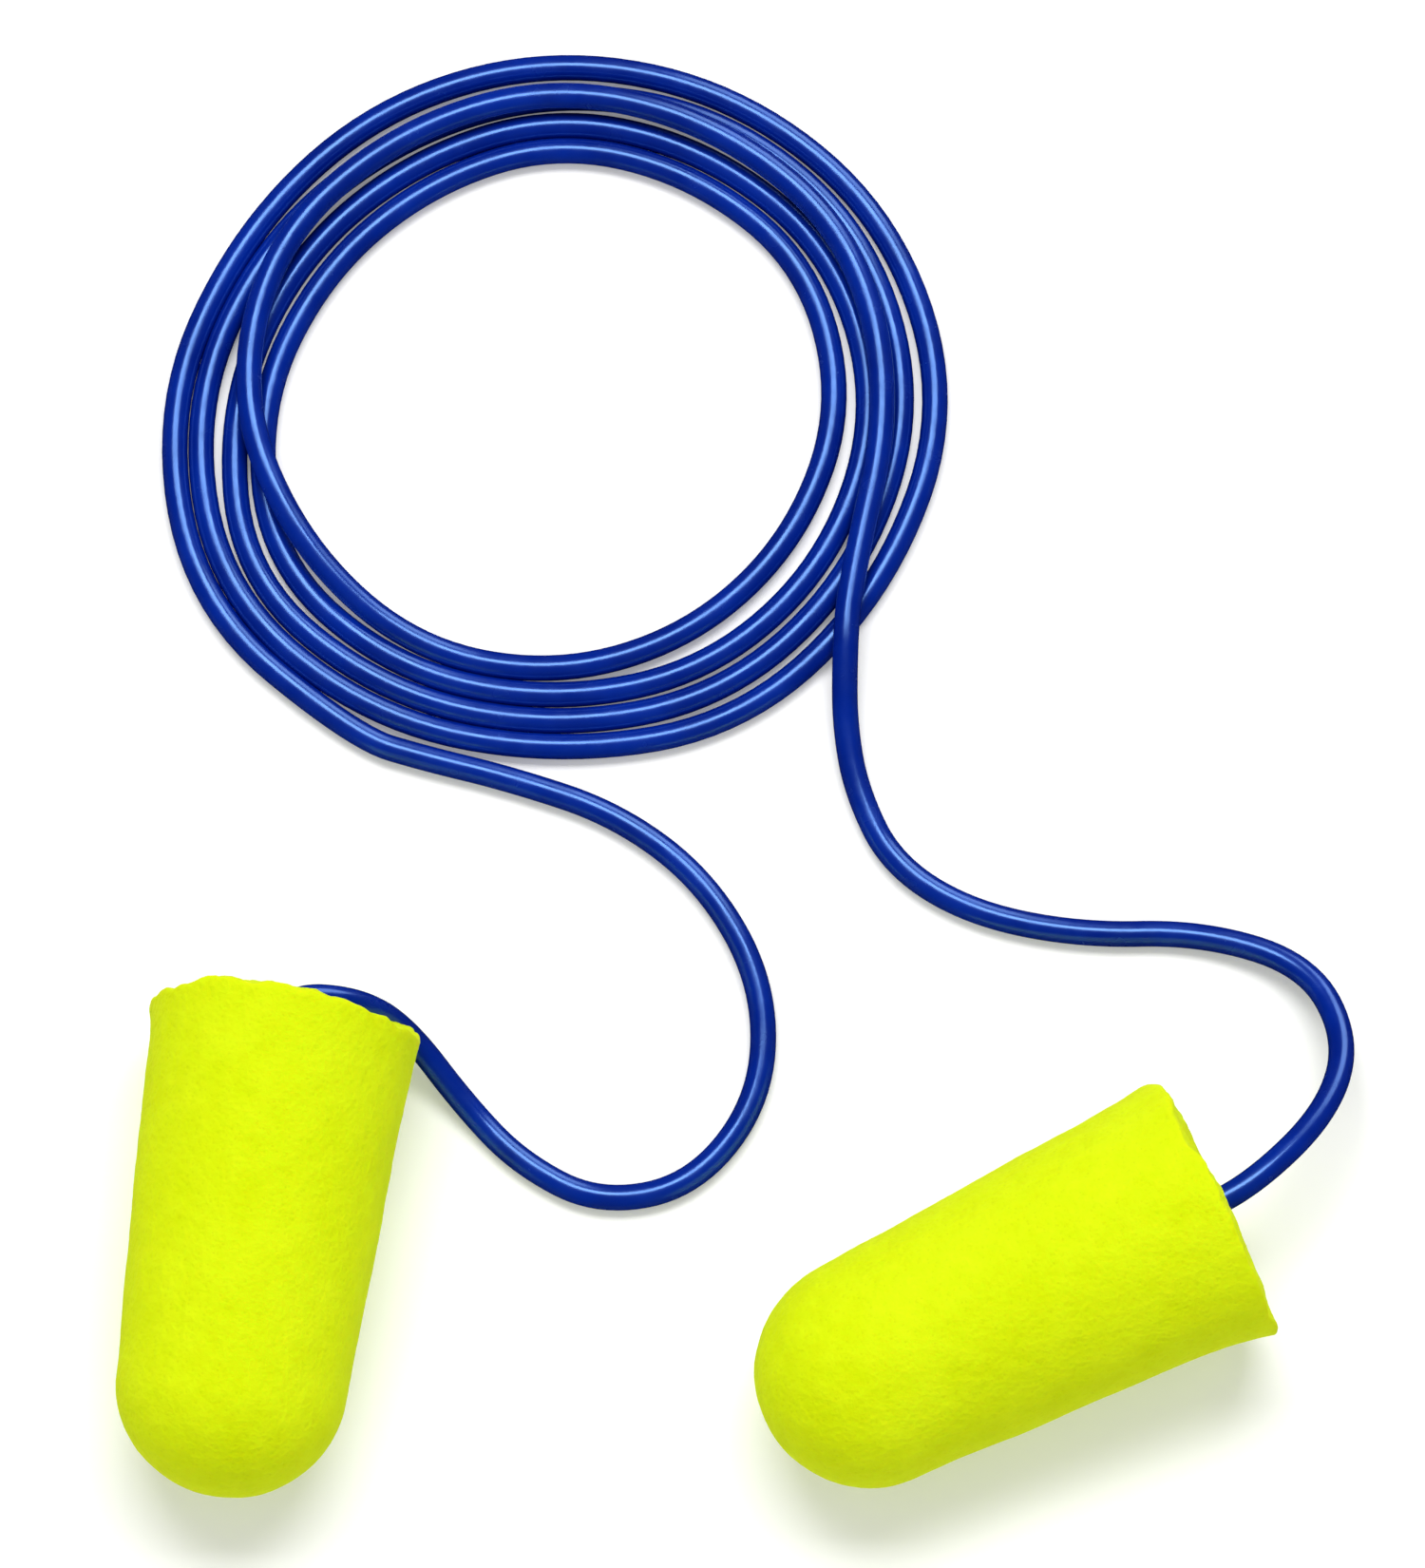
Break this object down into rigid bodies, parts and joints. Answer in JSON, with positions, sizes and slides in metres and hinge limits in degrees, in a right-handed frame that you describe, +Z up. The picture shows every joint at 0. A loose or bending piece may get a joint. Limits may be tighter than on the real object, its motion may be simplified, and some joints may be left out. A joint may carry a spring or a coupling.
{
  "type": "corded foam ear plugs",
  "caption": "Tapered foam ear plugs joined by a thin coiled cord, laid out flat; each plug swings on the end of its cord.",
  "frame": {"origin": "on the surface the part lies on, below the middle of the two plugs' bounding box", "axes": "+Z up; +X along the line of the two plugs, from the left plug to the right plug; +Y towards the coil"},
  "size_m": [0.0591, 0.0715, 0.0129],
  "materials": {
    "foam": "matte",
    "glue": "satin",
    "cord": "gloss"
  },
  "bodies": {
    "cord": {"cord_coil": "cord", "cord_left_lead": "cord", "cord_right_lead": "cord"},
    "left_plug": {"left_foam_plug": "foam", "left_glue_bond": "glue", "left_cord_stub": "cord"},
    "right_plug": {"right_foam_plug": "foam", "right_glue_bond": "glue", "right_cord_stub": "cord"}
  },
  "joints": [
    {"name": "left_plug_swing", "type": "hinge", "parent": "cord", "child": "left_plug", "pos_m": [-0.0119, 0.00945, 0.00186], "axis": [0, 0, 1], "range_deg": [-45, 45]},
    {"name": "right_plug_swing", "type": "hinge", "parent": "cord", "child": "right_plug", "pos_m": [0.0285, 0.00433, 0.00557], "axis": [0, 0, 1], "range_deg": [-15, 45]}
  ]
}
